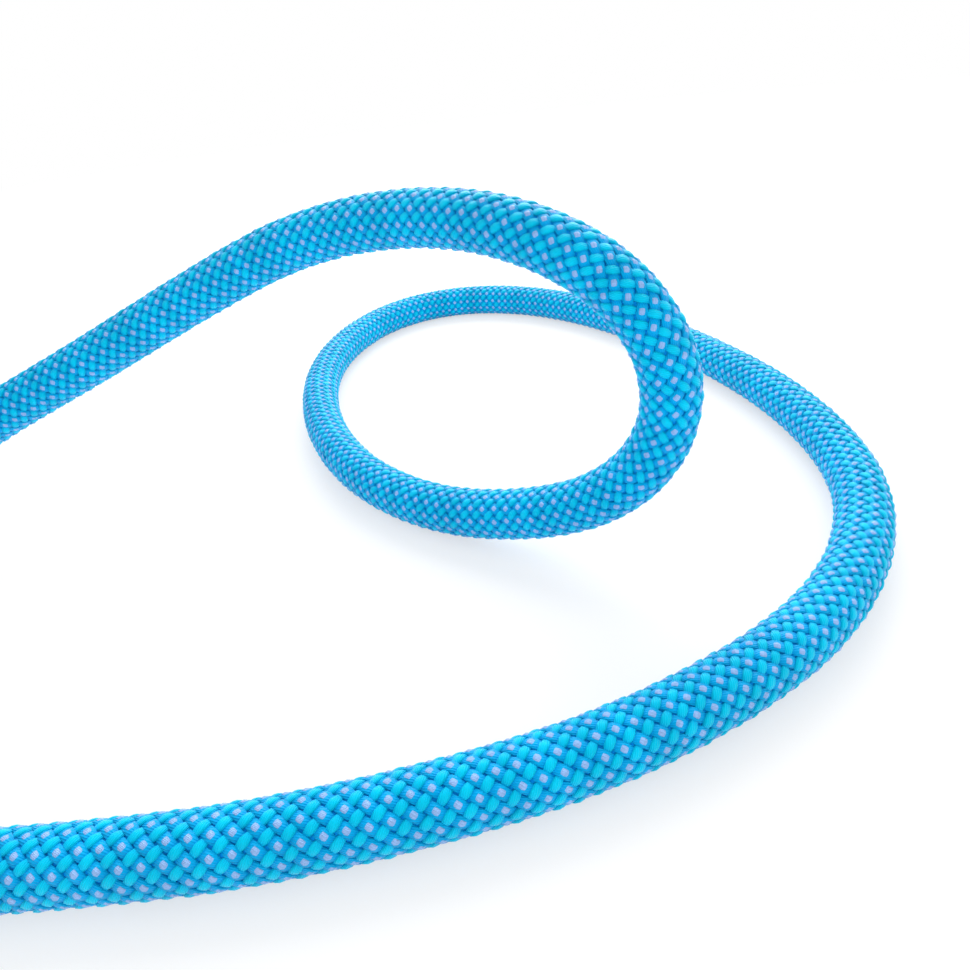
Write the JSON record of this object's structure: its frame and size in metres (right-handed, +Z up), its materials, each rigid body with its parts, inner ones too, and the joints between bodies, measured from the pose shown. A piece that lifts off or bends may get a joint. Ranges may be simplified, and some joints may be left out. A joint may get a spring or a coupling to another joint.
{
  "type": "dynamic climbing rope",
  "caption": "Round woven climbing rope lying in a small arched loop and a wide bend, the rest wound into a round coil held by straps, both ends fused and sleeved.",
  "frame": {"origin": "centre of the outline on the floor that the rope lies on", "axes": "+Z up, +X from the coil towards the free loops, +Y away from the sleeved free end"},
  "size_m": [0.4638, 0.2396, 0.0752],
  "materials": {
    "sheath": "polyamide sheath woven from bright cyan and dark blue yarns with lilac threads, satin sheen",
    "coil": "the same woven polyamide sheath",
    "core": "white twisted polyamide filament",
    "marker": "coloured thread",
    "strap": "woven polyamide hook-and-loop strap",
    "sleeve": "shrunk-on plastic sleeve",
    "tip": "sheath and core fused into one hard end"
  },
  "bodies": {
    "root": {"sheath": "sheath", "core_strand_01": "core", "core_strand_02": "core", "core_strand_03": "core", "core_strand_04": "core", "core_strand_05": "core", "core_strand_06": "core", "core_strand_07": "core", "core_strand_08": "core", "core_strand_09": "core", "core_strand_10": "core", "core_strand_11": "core", "marker_thread": "marker", "rope_coil": "coil", "inner_turns": "coil", "tie_1": "strap", "tie_2": "strap", "tie_3": "strap", "end_sleeve_a": "sleeve", "end_sleeve_b": "sleeve", "fused_tip_a": "tip", "fused_tip_b": "tip"}
  },
  "joints": []
}
